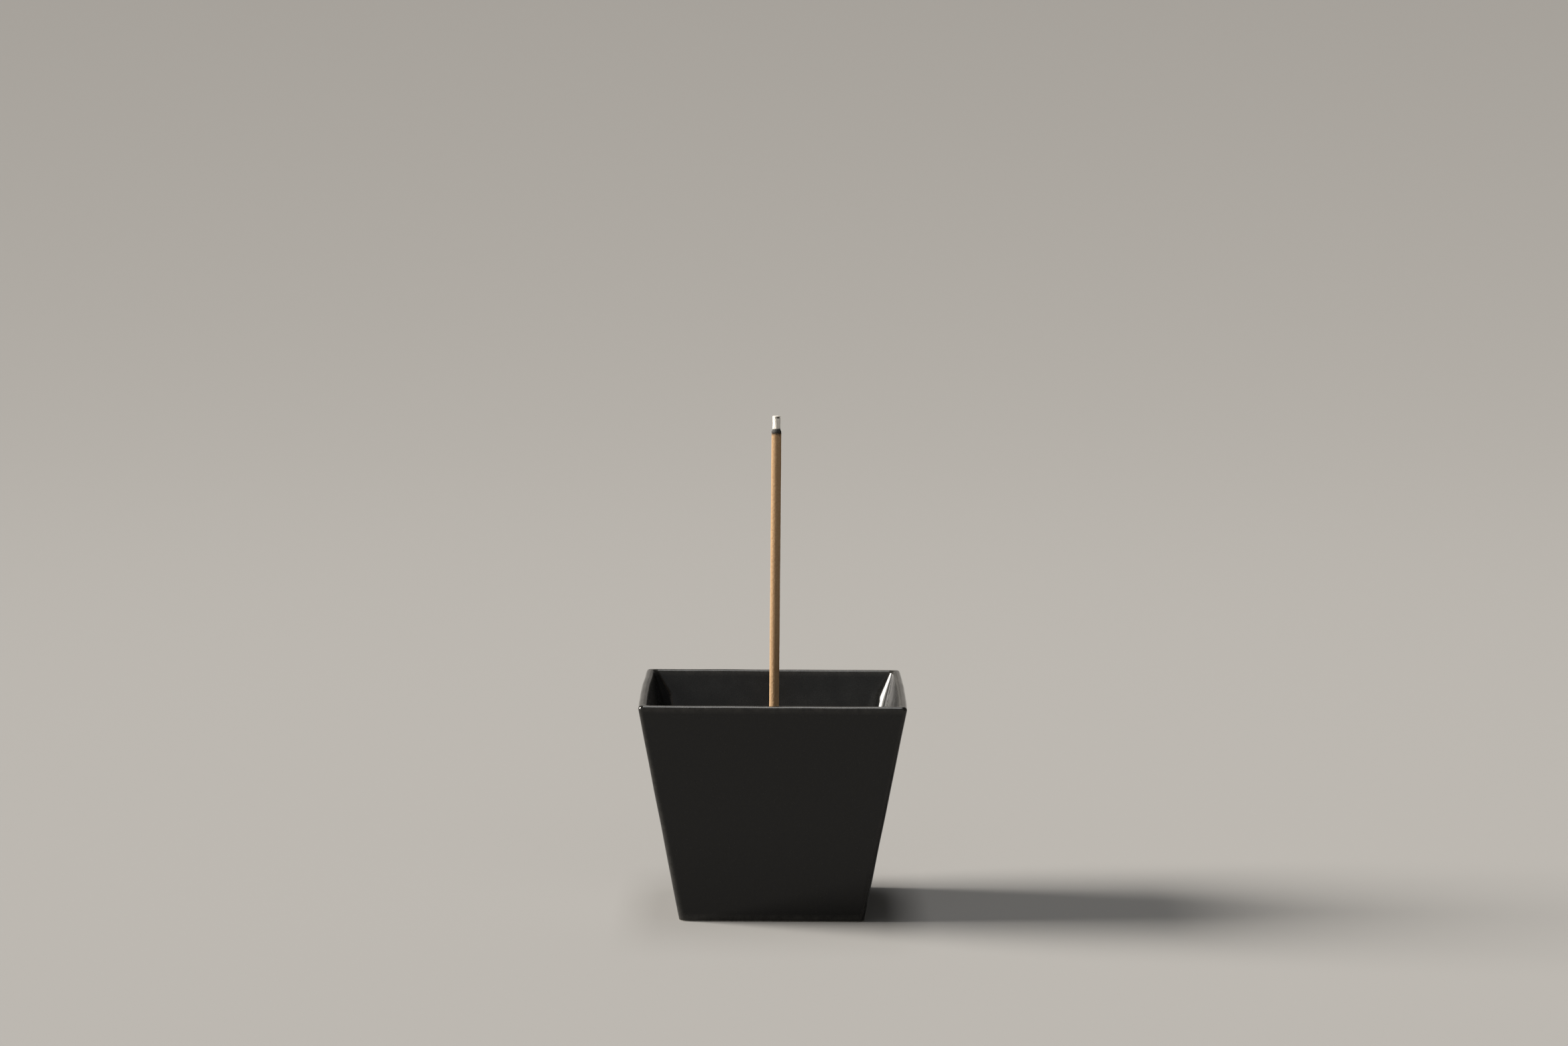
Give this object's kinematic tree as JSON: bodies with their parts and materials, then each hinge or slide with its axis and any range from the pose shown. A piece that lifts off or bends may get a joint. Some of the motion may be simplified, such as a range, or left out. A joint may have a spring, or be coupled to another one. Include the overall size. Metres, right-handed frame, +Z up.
{
  "type": "incense burner",
  "caption": "Small square ceramic cup that flares towards its rim, filled with ash, holding an upright lit stick of incense.",
  "frame": {"origin": "centre of the cup's foot, on the surface that the cup stands on", "axes": "+Z up through the cup's mouth; X and Y square to the cup's four sides; the stick leans slightly towards +X"},
  "size_m": [0.06, 0.06, 0.1121],
  "materials": {
    "black_glaze": "satin",
    "bed_ash": "matte",
    "incense": "matte",
    "char": "matte",
    "coal": "matte",
    "tip_ash": "matte"
  },
  "bodies": {
    "cup": {"vessel": "black_glaze", "ash_bed": "bed_ash"},
    "stick": {"incense_stick": "incense", "char_collar": "char", "ember": "coal", "ash_tip": "tip_ash"}
  },
  "joints": [
    {"name": "stick_lift", "type": "slide", "parent": "cup", "child": "stick", "axis": [0.0035, 0, 1], "range_m": [0, 0.04]}
  ]
}
